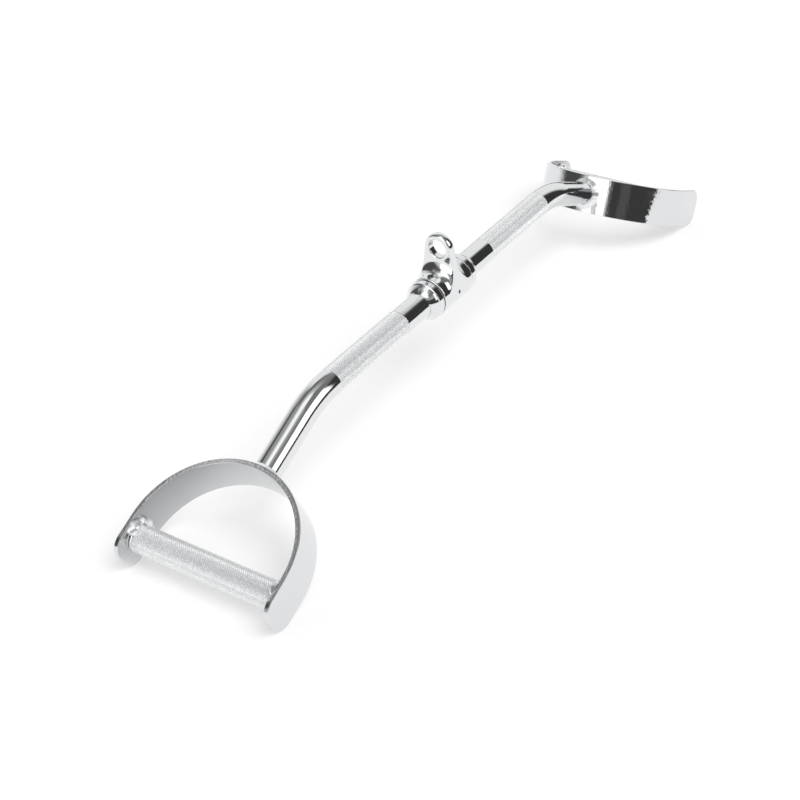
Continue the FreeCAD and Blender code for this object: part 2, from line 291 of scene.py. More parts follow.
def knurl(bm, radius, start, end):
    # A grid turned by 45 degrees gives the diamonds. It is trimmed, rolled round the bar, and each diamond
    # is raised to a small pyramid with a flat top.
    around = round(fullTurn * radius / knurlValues["pitch"])
    pitch = fullTurn * radius / around
    near = pitch / 10
    rows = round((end - start) / pitch)
    stretch = (end - start) / (rows * pitch)
    cells = around + rows + 2  # enough to cover the unrolled stretch once turned
    cells += cells % 2
    halfSpan = cells * pitch / math.sqrt(2) / 2
    before = set(bm.verts)

    def added():
        return [corner for corner in bm.verts if corner not in before]

    bmesh.ops.create_grid(
        bm, x_segments=cells, y_segments=cells, size=halfSpan,
        matrix=Matrix.Rotation(quarterTurn / 2, 4, "Z"),
    )
    limits = (((1, 0, 0), rows * pitch / 2), ((0, 1, 0), around * pitch / 2))
    for direction, reach in limits:
        for sign in (-1, 1):
            outward = Vector(direction) * sign
            sheet = set(added())
            for corner in added():
                sheet.update(corner.link_edges)
                sheet.update(corner.link_faces)
            bmesh.ops.bisect_plane(
                bm, geom=list(sheet), dist=cutGap, plane_co=outward * reach, plane_no=outward,
                clear_outer=True,
            )
    valleyRadius = radius - knurlValues["depth"]
    seam = []
    for corner in added():
        if abs(abs(corner.co.y) - around * pitch / 2) < near:
            seam.append(corner)
    for corner in added():
        turn = corner.co.y / radius
        corner.co = (
            (start + end) / 2 + corner.co.x * stretch,
            valleyRadius * math.sin(turn),
            valleyRadius * math.cos(turn),
        )
    bmesh.ops.remove_doubles(bm, verts=seam, dist=near)
    joints = set()
    for corner in added():
        if corner.co.z < 0 and abs(corner.co.y) < near:
            for side in corner.link_edges:
                other = side.other_vert(corner)
                if abs(other.co.y) < near and len(side.link_faces) == 2:
                    joints.add(side)
    bmesh.ops.dissolve_edges(bm, edges=list(joints))
    diamonds = set()
    rims = set()
    for corner in added():
        diamonds.update(corner.link_faces)
        rims.update(side for side in corner.link_edges if side.is_boundary)
    bmesh.ops.recalc_face_normals(bm, faces=list(diamonds))
    bmesh.ops.holes_fill(bm, edges=list(rims), sides=0)
    bmesh.ops.inset_individual(
        bm, faces=list(diamonds), thickness=knurlValues["slope"], depth=knurlValues["depth"],
        use_even_offset=True,
    )
    return around, rows


def markValleys(bm, radius, end):
    # 1 at the bottom of the grooves and 0 on top, so that the material can paint shade in them. The axis is
    # X here, and nothing past the end of the knurling is marked.
    mask = bm.verts.layers.float.new("mask")
    for corner in bm.verts:
        if abs(corner.co.x) < end:
            reach = math.hypot(corner.co.y, corner.co.z)
            corner[mask] = min(max((radius - reach) / knurlValues["depth"], 0.0), 1.0)


barValues = {
    "radius": 0.0127,
    "cornerReach": 0.201,  # where the lines of the straight bar and the leg meet
    "bendAngle": math.radians(25.0),
    "bendRadius": 0.097,
    "bendSteps": 30,
    "legLength": 0.081,
    "knurlStart": 0.0730,
    "knurlEnd": 0.1775,
    "edge": 0.00025,
    "sharp": math.radians(25.0),
}
bendTangent = barValues["bendRadius"] * math.tan(barValues["bendAngle"] / 2)
bendStart = barValues["cornerReach"] - bendTangent
crown = Vector((
    barValues["cornerReach"] + barValues["legLength"] * math.cos(barValues["bendAngle"]),
    0,
    barAxis - barValues["legLength"] * math.sin(barValues["bendAngle"]),
))
# The stirrup's own frame has its origin on the crown, X out from it, Y along the grip and Z across the strap
endPlace = Matrix.Translation(crown) @ Matrix.Rotation(barValues["bendAngle"], 4, "Y")

stirrupValues = {
    "archRadius": 0.081,
    "thickness": 0.0045,
    "width": 0.039,
    "depth": 0.116,
    "cornerRadius": 0.014,
    "rimRadius": 0.0006,
    "bendSteps": 96,
    # how far the painted sheen, a paler colour that stands for brighter reflections, reaches on the inner
    # face:
    # at the open end, at the crown, anywhere, and how much more of it the lower rim has than the upper one
    "paintedSheenShares": {"end": 0.8, "crown": 0.7, "least": 0.08, "lowerRim": 0.3},
    "paintedSheenTurn": math.radians(60.0),
    "paintedSheenPlace": (0.014, 0.020),  # from the arch's end, where the painted sheen of the open end sets in
}
strapMiddle = stirrupValues["archRadius"] - stirrupValues["thickness"] / 2
halfBend = strapMiddle * quarterTurn  # along the strap, from the crown to the arch's end


def crownFall(across):
    # how far the strap's outer face has curved away from the crown, that far to one side of it
    arch = stirrupValues["archRadius"]
    return arch - math.sqrt(arch ** 2 - across ** 2)


def mainBar():
    bm = bmesh.new()
    radius = barValues["radius"]
    # The right-hand leg grows from one ring: a short straight stretch, the bend, and the leg to the crown
    ring = bmesh.ops.create_circle(bm, cap_ends=False, segments=everySide, radius=radius)["verts"]
    bmesh.ops.rotate(bm, verts=ring, cent=(0, 0, 0), matrix=Matrix.Rotation(quarterTurn, 3, "Y"))
    bmesh.ops.translate(bm, verts=ring, vec=(barValues["knurlEnd"], 0, 0))
    grown = bmesh.ops.extrude_edge_only(bm, edges=bm.edges[:])["geom"]
    corners = vertsOf(grown)
    bmesh.ops.translate(bm, verts=corners, vec=(bendStart - barValues["knurlEnd"], 0, 0))
    spun = bmesh.ops.spin(
        bm, geom=corners + edgesOf(grown), cent=(bendStart, 0, -barValues["bendRadius"]), axis=(0, 1, 0),
        angle=barValues["bendAngle"], steps=barValues["bendSteps"],
    )["geom_last"]
    grown = bmesh.ops.extrude_edge_only(bm, edges=edgesOf(spun))["geom"]
    corners = vertsOf(grown)
    outward = Vector((math.cos(barValues["bendAngle"]), 0, -math.sin(barValues["bendAngle"])))
    bmesh.ops.translate(bm, verts=corners, vec=outward * (barValues["legLength"] - bendTangent))
    for corner in corners:
        corner.co += outward * crownFall(corner.co.y)
    bmesh.ops.holes_fill(bm, edges=rimsOf(bm), sides=0)
    bmesh.ops.mirror(bm, geom=whole(bm), matrix=Matrix.Identity(4), merge_dist=0.0, axis="X")
    rod(bm, radius, -barValues["knurlStart"], barValues["knurlStart"], barValues["edge"])
    plain = set(bm.faces)
    for sign in (-1, 1):
        ends = sorted((sign * barValues["knurlStart"], sign * barValues["knurlEnd"]))
        around, rows = knurl(bm, radius, *ends)
    print("bar knurl:", around, "diamonds round,", rows, "along")
    for face in bm.faces:
        face.material_index = 0 if face in plain else 1
    markValleys(bm, radius, barValues["knurlEnd"])
    bmesh.ops.translate(bm, verts=bm.verts, vec=(0, 0, barAxis))
    materials = [chromedBar, chromedKnurl]
    finishPiece("mainBar", bm, materials, "bar_assembly", "main_bar", barValues["sharp"])


mainBar()


def paintedSheen(place, across):
    # from 0 to 1, the painted sheen of the inner face that far along the strap and that far above its middle
    # line
    values = stirrupValues
    shares = values["paintedSheenShares"]
    endStart, endFull = values["paintedSheenPlace"]
    towardsCrown = max(1 - abs(place) / strapMiddle / values["paintedSheenTurn"], 0)
    towardsEnd = min(max((abs(place) - halfBend - endStart) / (endFull - endStart), 0), 1)
    share = shares["least"] + shares["crown"] * towardsCrown + shares["end"] * towardsEnd
    return min(max(share - shares["lowerRim"] * across * 2 / values["width"], 0), 1)


def stirrup(name, side):
    # A flat strap with rounded ends is cut out, thickened, eased along its rim and then bent round
    values = stirrupValues
    inner = values["archRadius"] - values["thickness"]
    halfLength = halfBend + values["depth"] - values["archRadius"]
    bm = bmesh.new()
    bmesh.ops.create_grid(bm, x_segments=1, y_segments=1, size=0.5)
    bmesh.ops.scale(bm, verts=bm.verts, vec=(halfLength * 2, values["width"], 1))
    bmesh.ops.bevel(
        bm, geom=bm.verts[:], offset=values["cornerRadius"], segments=16, profile=0.5, affect="VERTICES",
        material=-1,
    )
    for step in range(values["bendSteps"] + 1):
        place = halfBend * (2 * step / values["bendSteps"] - 1)
        bmesh.ops.bisect_plane(bm, geom=whole(bm), dist=cutGap, plane_co=(place, 0, 0), plane_no=(1, 0, 0))
    bmesh.ops.solidify(bm, geom=bm.faces[:], thickness=values["thickness"])
    bmesh.ops.recalc_face_normals(bm, faces=bm.faces)
    lowest = min(corner.co.z for corner in bm.verts)
    bmesh.ops.translate(bm, verts=bm.verts, vec=(0, 0, -lowest))
    rims = [edge for edge in bm.edges if edge.calc_face_angle() > quarterTurn / 2]
    bmesh.ops.bevel(
        bm, geom=rims, offset=values["rimRadius"], segments=4, profile=0.5, affect="EDGES", material=-1,
    )
    for face in bm.faces:
        face.material_index = 1 if max(corner.co.z for corner in face.verts) < values["rimRadius"] / 2 else 0
    # the mask holds the painted sheen: the inner face is painted paler where it stands for brighter
    # reflections
    mask = bm.verts.layers.float.new("mask")
    for corner in bm.verts:
        place, across, lift = corner.co
        radius = inner + lift
        corner[mask] = paintedSheen(place, across)
        if abs(place) <= halfBend:
            turn = place / strapMiddle
            corner.co = (values["archRadius"] - radius * math.cos(turn), radius * math.sin(turn), across)
        else:
            beyond = abs(place) - halfBend
            corner.co = (values["archRadius"] + beyond, math.copysign(radius, place), across)
    bm.transform(sides[side] @ endPlace)
    finishPiece(name, bm, [chromedStrap, satinStrapWithPaintedSheen], "bar_assembly", side + "_stirrup")


for side in sides:
    stirrup(side + "Stirrup", side)


crownWeldValues = {
    "leg": 0.004,
    "bury": 0.0004,  # how far the bead's root lies inside the metal that it joins
    "toe": 0.0002,
    "rounding": 0.0014,
    "swellShares": (0.45, 0.62),  # the middle of the bead's face, in legs back along the bar and out from it
    "ripples": 24,
    "rippleDepth": 0.00012,
    "lumpDepth": 0.0005,
    "lumpPace": 2.2,  # the larger, the more lumps there are round the bar
    "sharp": math.radians(60.0),
}


def crownWeld(name, side):
    values = crownWeldValues
    radius = barValues["radius"]
    leg = values["leg"]
    bury = values["bury"]
    back, out = values["swellShares"]
    bm = turned([
        (-leg, radius - bury, 0),
        (-leg, radius + bury, values["toe"]),
        (-leg * back, radius + leg * out, values["rounding"]),
        (0, radius + leg, values["toe"]),
        (bury, radius + leg, 0),
        (bury, radius - bury, 0),
    ], steps=everySide * 2)
    for corner in bm.verts:
        place, y, z = corner.co
        reach = math.hypot(y, z)
        turn = math.atan2(z, y)
        excess = max(reach - radius, 0)
        ripple = values["rippleDepth"] * abs(math.sin(turn * values["ripples"] / 2))
        around = Vector((math.cos(turn), math.sin(turn), 0)) * values["lumpPace"]
        lump = values["lumpDepth"] * noise.noise(around)
        grow = 1 + (lump - ripple) / leg if excess > bury / 2 else 1
        scale = (radius + excess * grow) / reach if excess else 1
        x = place * grow if place < 0 else place
        corner.co = (x + crownFall(y * scale), y * scale, z * scale)
    bm.transform(sides[side] @ endPlace)
    node = side + "_stirrup_weld"
    finishPiece(name, bm, [chromedWeld], "bar_assembly", node, values["sharp"])


for side in sides:
    crownWeld(side + "StirrupWeld", side)


gripValues = {
    "radius": barValues["radius"],
    "reach": 0.092,  # from the crown to the grip's axis
    "gap": 0.00005,  # between the grip's end and the strap
    "land": 0.003,  # plain turned stretch at each end of the knurling
    "edge": 0.0011,
    "sharp": math.radians(25.0),
}
gripWeldValues = {
    "start": math.radians(70.0),  # counted from the stirrup's open end over its upper rim to the crown
    "sweep": math.radians(220.0),
    "steps": 150,
    "leg": 0.0046,
    "bury": 0.0006,
    "faceSteps": 8,  # round the bead's full face
    # each pass of the welder left a lump: (middle and half width in degrees, size as a share of the leg)
    "lumpShares": {
        "left": ((102.0, 30.0, 1.50), (157.0, 27.0, 1.50), (214.0, 32.0, 1.15), (266.0, 26.0, 1.10)),
        "right": ((98.0, 26.0, 0.95), (148.0, 28.0, 1.10), (206.0, 34.0, 1.10), (262.0, 28.0, 1.10)),
    },
    "leastShare": 0.62,  # the bead's size between the lumps
    "fade": 8.0,  # degrees over which the bead dies away at its two ends
    "fadeSpare": 1.0,  # degrees by which it reaches on, so that its end faces aren't nothing
    "wobbleShare": 0.10,
    "wobbleSize": 0.004,
    "sharp": math.radians(60.0),
}


def gripWeld(name, side, arm, facing):
    values = gripWeldValues
    root = gripValues["radius"] - values["bury"]
    seat = stirrupValues["archRadius"] - stirrupValues["thickness"] - gripValues["gap"]
    leg = values["leg"]
    bm = bmesh.new()
    # The bead's section is a quarter round between the strap and the grip, buried a little in the grip
    centre = bm.verts.new((0, 0, 0))
    tip = bm.verts.new((leg + values["bury"], 0, 0))
    bm.edges.new((centre, tip))
    spun = bmesh.ops.spin(
        bm, geom=[tip], cent=(0, 0, 0), axis=(0, 0, 1), angle=quarterTurn, steps=values["faceSteps"],
    )["geom_last"]
    bm.edges.new((vertsOf(spun)[0], centre))
    profile = bm.verts[:]
    bmesh.ops.translate(bm, verts=profile, vec=(root, 0, 0))
    bmesh.ops.rotate(bm, verts=profile, cent=(0, 0, 0), matrix=Matrix.Rotation(-values["start"], 3, "Y"))
    bmesh.ops.spin(
        bm, geom=bm.verts[:] + bm.edges[:], cent=(0, 0, 0), axis=(0, 1, 0), angle=-values["sweep"],
        steps=values["steps"],
    )
    first = math.degrees(values["start"])
    end = first + math.degrees(values["sweep"])
    for corner in bm.verts:
        x, inward, z = corner.co
        reach = math.hypot(x, z)
        turn = math.degrees(math.atan2(z, x)) % 360
        size = values["leastShare"]
        for middle, half, height in values["lumpShares"][side]:
            near = max(0, 1 - ((turn - middle) / half) ** 2)
            size = max(size, values["leastShare"] + (height - values["leastShare"]) * math.sqrt(near))
        fromEnd = min(turn - first, end - turn) + values["fadeSpare"]
        fade = min(1, fromEnd / values["fade"])
        size *= math.sqrt(max(fade, 0))
        size *= 1 + values["wobbleShare"] * noise.noise(Vector((x, z, inward)) / values["wobbleSize"])
        grown = root + (reach - root) * size
        corner.co = (
            gripValues["reach"] + x * grown / reach,
            facing * (seat - inward * size),
            z * grown / reach,
        )
    bmesh.ops.holes_fill(bm, edges=rimsOf(bm), sides=0)
    bm.transform(sides[side] @ endPlace)
    node = side + "_" + arm + "_grip_weld"
    finishPiece(name, bm, [chromedWeld], "bar_assembly", node, values["sharp"])


for side in sides:
    gripWeld(side + "FrontGripWeld", side, "front", -1)
    gripWeld(side + "BackGripWeld", side, "back", 1)


def grip(name, side):
    values = gripValues
    half = stirrupValues["archRadius"] - stirrupValues["thickness"] - values["gap"]
    knurlHalf = half - values["land"]
    bm = bmesh.new()
    for start, end in ((-half, -knurlHalf), (knurlHalf, half)):
        rod(bm, values["radius"], start, end, values["edge"])
    plain = set(bm.faces)
    around, rows = knurl(bm, values["radius"], -knurlHalf, knurlHalf)
    print("grip knurl:", around, "diamonds round,", rows, "along")
    for face in bm.faces:
        face.material_index = 1 if face in plain else 0
    markValleys(bm, values["radius"], knurlHalf)
    bm.transform(Matrix.Rotation(quarterTurn, 4, "Z"))
    bmesh.ops.translate(bm, verts=bm.verts, vec=(values["reach"], 0, 0))
    bm.transform(sides[side] @ endPlace)
    materials = [chromedKnurl, chromedBar]
    finishPiece(name, bm, materials, "bar_assembly", side + "_grip", values["sharp"])


for side in sides:
    grip(side + "Grip", side)


middleValues = {
    "hangerHalf": 0.023,  # half the length of the hanger's barrel
    "endFloat": 0.0003,  # between the hanger and each washer
    "turningSlack": 0.00006,  # between the bar and the bush that turns on it
    "slack": 0.00003,  # between pieces that sit on or in each other
}
washerValues = {
    "start": middleValues["hangerHalf"] + middleValues["endFloat"],
    "thickness": 0.001,
    "radius": 0.0187,
    "bore": barValues["radius"] + middleValues["slack"],
    "edge": 0.0002,
}
collarValues = {
    "start": washerValues["start"] + washerValues["thickness"] + middleValues["slack"],
    "radius": 0.0189,
    "bore": barValues["radius"] + middleValues["slack"],
    "rimLength": 0.0066,
    "rimStep": 0.0009,
    "shoulderLength": 0.0076,
    "shoulderBulge": 0.0004,
    "shoulderSteps": 12,
    "endRadius": 0.0138,
    "edge": 0.0004,
    "easing": 0.00025,
    "sharp": math.radians(35.0),
}
screwValues = {
    "radius": 0.0025,
    "sink": 0.0009,  # how far the screw's head lies inside its hole
    "acrossFlats": 0.0025,
    "socketDepth": 0.0026,
    "edge": 0.0004,
    "fromDown": math.radians(20.0),
    "sharp": math.radians(30.0),
}
cutReach = 0.004  # how far a cutter stands out past what it cuts


def linked(name, bm):
    # a helper object that a boolean can read
    bmesh.ops.recalc_face_normals(bm, faces=bm.faces)
    mesh = bpy.data.meshes.new(name)
    bm.to_mesh(mesh)
    bm.free()
    made = bpy.data.objects.new(name, mesh)
    bpy.context.scene.collection.objects.link(made)
    return made


def applied(base, *tools):
    # base's modifiers are baked in its mesh, and the tools that they used are dropped
    evaluated = base.evaluated_get(bpy.context.evaluated_depsgraph_get())
    bm = bmesh.new()
    bm.from_mesh(evaluated.to_mesh())
    evaluated.to_mesh_clear()
    for used in (base, *tools):
        bpy.data.objects.remove(used)
    return bm


def combined(base, tool, operation):
    step = base.modifiers.new(operation, "BOOLEAN")
    step.operation = operation
    step.solver = "EXACT"
    step.object = tool
    return linked("work", applied(base, tool))


def cutter(radius, start, end, matrix, segments=48):
    bm = bmesh.new()
    bmesh.ops.create_cone(
        bm, cap_ends=True, segments=segments, radius1=radius, radius2=radius, depth=end - start,
        matrix=matrix @ Matrix.Translation((0, 0, (start + end) / 2)),
    )
    return linked("cutter", bm)


# The set screws look down and a little to the front: their own Z runs out from the bar's axis
screwTurn = Matrix.Rotation(math.pi + screwValues["fromDown"], 4, "X")
screwSeat = Matrix.Translation((collarValues["start"] + collarValues["rimLength"] / 2, 0, 0)) @ screwTurn
onBar = Matrix.Translation((0, 0, barAxis))


def collar(name, side):
    values = collarValues
    start = values["start"]
    edge = values["edge"]
    easing = values["easing"]
    rimEnd = start + values["rimLength"]
    shoulderTop = values["radius"] - values["rimStep"]
    shoulderEnd = rimEnd + values["shoulderLength"]
    drop = shoulderTop - values["endRadius"]
    slant = math.hypot(values["shoulderLength"], drop)
    shoulder = []
    for step in range(1, values["shoulderSteps"]):
        share = step / values["shoulderSteps"]
        swell = values["shoulderBulge"] * 4 * share * (1 - share)
        shoulder.append((
            rimEnd + values["shoulderLength"] * share + swell * drop / slant,
            shoulderTop - drop * share + swell * values["shoulderLength"] / slant,
            0,
        ))
    bm = turned([
        (start, values["bore"], 0),
        (start, values["radius"], edge),
        (rimEnd - edge, values["radius"], easing),
        (rimEnd, shoulderTop, easing),
        *shoulder,
        (shoulderEnd, values["endRadius"], easing),
        (shoulderEnd + edge, values["endRadius"] - edge, 0),
        (shoulderEnd + edge, values["bore"], 0),
    ], steps=everySide * 2, segments=4)
    screwHole = screwValues["radius"] + middleValues["slack"]
    tool = cutter(screwHole, values["radius"] / 2, values["radius"] + cutReach, screwSeat)
    cut = combined(linked("work", bm), tool, "DIFFERENCE")
    bm = applied(cut)
    bm.transform(sides[side] @ onBar)
    node = side + "_collar"
    finishPiece(name, bm, [chromedCollar], "bar_assembly", node, values["sharp"])


def setScrew(name, side):
    # The head face grows from the socket's hexagon: out to the round edge and down the side, and down into
    # the socket
    values = screwValues
    flat = values["acrossFlats"] / math.sqrt(3)
    top = collarValues["radius"] - values["sink"]
    tip = barValues["radius"] + middleValues["slack"]
    bm = bmesh.new()
    bmesh.ops.create_circle(bm, cap_ends=False, segments=6, radius=flat)
    bmesh.ops.subdivide_edges(bm, edges=bm.edges[:], cuts=5)
    socket = bm.edges[:]

    def grow(edges, radius, lift):
        grown = bmesh.ops.extrude_edge_only(bm, edges=edges)["geom"]
        for corner in vertsOf(grown):
            if radius:
                corner.co.xy = Vector((corner.co.x, corner.co.y)).normalized() * radius
            corner.co.z += lift
        return edgesOf(grown)

    face = grow(socket, values["radius"] - values["edge"], 0)
    wall = grow(face, values["radius"], -values["edge"])
    foot = grow(wall, values["radius"], tip - top + values["edge"] * 2)
    point = grow(foot, values["radius"] - values["edge"], -values["edge"])
    floor = grow(socket, 0, -values["socketDepth"])
    bmesh.ops.edgeloop_fill(bm, edges=point)
    bmesh.ops.edgeloop_fill(bm, edges=floor)
    bmesh.ops.translate(bm, verts=bm.verts, vec=(0, 0, top))
    bm.transform(sides[side] @ onBar @ screwSeat)
    node = side + "_collar_screw"
    finishPiece(name, bm, [blackOxide], "bar_assembly", node, values["sharp"])


def washer(name, side):
    values = washerValues
    end = values["start"] + values["thickness"]
    bm = turned([
        (values["start"], values["bore"], values["edge"]),
        (values["start"], values["radius"], values["edge"]),
        (end, values["radius"], values["edge"]),
        (end, values["bore"], values["edge"]),
    ], segments=2)
    bm.transform(sides[side] @ onBar)
    finishPiece(name, bm, [turnedSteel], "bar_assembly", side + "_thrust_washer")


for side in sides:
    collar(side + "Collar", side)
    setScrew(side + "CollarScrew", side)
    washer(side + "ThrustWasher", side)


hangerValues = {
    "halfLength": middleValues["hangerHalf"],
    "radius": 0.020,
    "bore": 0.01519,
    "earThickness": 0.008,
    "rimCrown": 0.0075,  # radius of the round across the ear's rim
    "rimSlices": 12,
    "eyeHeight": 0.042,
    "eyeOutside": 0.0145,
    "eyeHole": 0.0091,
    "fillet": 0.0125,
    "filletSteps": 32,
    "inside": 0.0132,  # the flare's inner side, which the bore cuts away
    "oilHole": 0.0017,
    "voxel": 0.00045,
    "smoothShare": 0.5,
    "smoothing": 20,
    "sharp": math.radians(80.0),
}
bushEdge = 0.0003


def hangerBush():
    half = hangerValues["halfLength"]
    inside = barValues["radius"] + middleValues["turningSlack"]
    outside = hangerValues["bore"] - middleValues["slack"]
    bm = turned([
        (-half, inside, bushEdge),
        (-half, outside, bushEdge),
        (half, outside, bushEdge),
        (half, inside, bushEdge),
    ], segments=2)
    bm.transform(onBar)
    finishPiece("hangerBush", bm, [sinteredBronze], "swivel_hanger", "hanger_bush")


hangerBush()


def rimSag(place):
    # how far the ear's rim has curved in, that far from the middle of its thickness
    crownRadius = hangerValues["rimCrown"]
    across = min(abs(place), hangerValues["earThickness"] / 2)
    return crownRadius - math.sqrt(crownRadius ** 2 - across ** 2)


def tearDrop(halfThickness, slices):
    # round the barrel below, round the eye above, with straight sides that touch both
    values = hangerValues
    bm = bmesh.new()
    loops = []
    for cut in range(slices + 1):
        place = halfThickness * (2 * cut / slices - 1)
        outside = values["eyeOutside"] - rimSag(place)
        lean = math.asin((values["radius"] - outside) / values["eyeHeight"])
        arcs = (
            (outside, values["eyeHeight"], lean, math.pi - lean),
            (values["radius"], 0, math.pi - lean, fullTurn + lean),
        )
        corners = []
        for radius, height, start, end in arcs:
            for step in range(everySide + 1):
                turn = start + (end - start) * step / everySide
                spot = (place, radius * math.cos(turn), height + radius * math.sin(turn))
                corners.append(bm.verts.new(spot))
        loops.append([bm.edges.new((corners[index - 1], corner)) for index, corner in enumerate(corners)])
    for before, after in zip(loops, loops[1:]):
        bmesh.ops.bridge_loops(bm, edges=before + after)
    bmesh.ops.holes_fill(bm, edges=rimsOf(bm), sides=0)
    return linked("work", bm)


def hanger():
    values = hangerValues
    half = values["halfLength"]
    earHalf = values["earThickness"] / 2
    flareEnd = earHalf + values["fillet"]
    inside = values["inside"]
    # The flare is a barrel that swells to the ear in hollow curves; the tear drop trims it
    outline = [(-flareEnd, inside, 0), (-flareEnd, values["radius"], 0)]
    for sign in (-1, 1):
        for step in range(values["filletSteps"] + 1):
            turn = quarterTurn * step / values["filletSteps"]
            if sign > 0:
                turn = quarterTurn - turn
            outline.append((
                sign * (flareEnd - values["fillet"] * math.sin(turn)),
                values["radius"] + values["fillet"] * (1 - math.cos(turn)),
                0,
            ))
    outline += [(flareEnd, values["radius"], 0), (flareEnd, inside, 0)]
    bm = turned(outline, steps=everySide * 2)
    bmesh.ops.remove_doubles(bm, verts=bm.verts, dist=mergeGap)
    flare = combined(linked("work", bm), tearDrop(flareEnd, values["rimSlices"] * 3), "INTERSECT")
    turnToX = Matrix.Rotation(quarterTurn, 4, "Y")
    body = cutter(values["radius"], -half, half, turnToX, segments=everySide * 2)
    body = combined(body, tearDrop(earHalf, values["rimSlices"]), "UNION")
    body = combined(body, flare, "UNION")
    boreHole = values["bore"] + middleValues["slack"]
    bore = cutter(boreHole, -half - cutReach, half + cutReach, turnToX, everySide)
    body = combined(body, bore, "DIFFERENCE")
    eyePlace = Matrix.Translation((0, 0, values["eyeHeight"])) @ turnToX
    body = combined(body, cutter(values["eyeHole"], -half, half, eyePlace, everySide), "DIFFERENCE")
    toFront = Matrix.Rotation(quarterTurn, 4, "X")
    body = combined(body, cutter(values["oilHole"], 0, values["radius"] + cutReach, toFront), "DIFFERENCE")
    # The casting's soft edges come from a fine remesh that is smoothed
    remesh = body.modifiers.new("remesh", "REMESH")
    remesh.mode = "VOXEL"
    remesh.voxel_size = values["voxel"]
    smooth = body.modifiers.new("smooth", "SMOOTH")
    smooth.factor = values["smoothShare"]
    smooth.iterations = values["smoothing"]
    bm = applied(body)
    bm.transform(onBar)
    sharp = values["sharp"]
    finishPiece("hanger", bm, [chromedCasting], "swivel_hanger", "hanger", sharp)


hanger()
print("pieces made")


studioValues = {
    "floorColour": "FAFAFA",
    "floorHalf": 9.0,
    "whiteShare": 0.5,  # of plain white in the floor, which keeps its shadows as faint as a bright studio's
    # the chrome sees the pale floor as far as a line square to this direction, so far from the middle of the
    # bar, and the dark room past it
    "sheetTurn": math.radians(-25.0),
    "sheetReach": 0.617,
    "sheetSoft": 0.02,
    "roomGrey": 0.04,
    "skyForFloor": 0.62,  # grey of the sky that lights the floor
    "sunStrength": 1.8,
    "sunAngle": math.radians(38.0),
    "sunTurn": (math.radians(33.0), 0.0, math.radians(-8.0)),
}
# What the chrome sees above the floor, in degrees. The room's grey goes by the elevation.
skySteps = (
    (-90.0, 0.80), (0.0, 0.82), (17.0, 0.70), (31.0, 0.45), (46.0, 0.20), (60.0, 0.26), (74.0, 0.55),
    (80.0, 1.1), (90.0, 1.2),
)
# Over it lie softly edged panels and dark corners, each over the ones before it: the azimuth of its middle
# from +X towards +Y, half its width, and its lower and upper elevation.
studioPanels = (
    {"azimuth": 25.0, "half": 38.0, "low": -90.0, "high": 48.0, "soft": 7.0, "softRim": 5.0, "grey": 0.95},
    {"azimuth": -93.0, "half": 73.0, "low": -90.0, "high": 27.0, "soft": 6.0, "softRim": 5.0, "grey": 0.05},
    {"azimuth": -41.0, "half": 21.0, "low": -90.0, "high": 43.0, "soft": 5.0, "softRim": 5.0, "grey": 0.04},
    {"azimuth": -60.0, "half": 35.0, "low": 47.0, "high": 76.0, "soft": 10.0, "softRim": 3.0, "grey": 0.20},
    {"azimuth": -141.0, "half": 7.0, "low": -90.0, "high": 26.0, "soft": 1.5, "softRim": 3.0, "grey": 0.09},
    {"azimuth": -73.0, "half": 18.0, "low": 10.0, "high": 46.0, "soft": 2.0, "softRim": 1.5, "grey": 1.7},
    {"azimuth": 116.0, "half": 31.0, "low": 3.0, "high": 47.0, "soft": 6.0, "softRim": 3.0, "grey": 0.08},
    {"azimuth": 174.0, "half": 18.0, "low": -90.0, "high": 41.0, "soft": 2.0, "softRim": 3.0, "grey": 1.7},
    {"azimuth": -162.0, "half": 36.0, "low": 41.0, "high": 80.0, "soft": 5.0, "softRim": 3.0, "grey": 1.3},
    {"azimuth": 63.0, "half": 30.0, "low": 47.0, "high": 62.0, "soft": 4.0, "softRim": 2.0, "grey": 0.17},
    {"azimuth": 134.0, "half": 19.0, "low": 45.0, "high": 64.0, "soft": 3.0, "softRim": 2.0, "grey": 0.14},
    {"azimuth": 100.0, "half": 12.0, "low": 53.2, "high": 56.4, "soft": 4.0, "softRim": 0.7, "grey": 0.66},
)


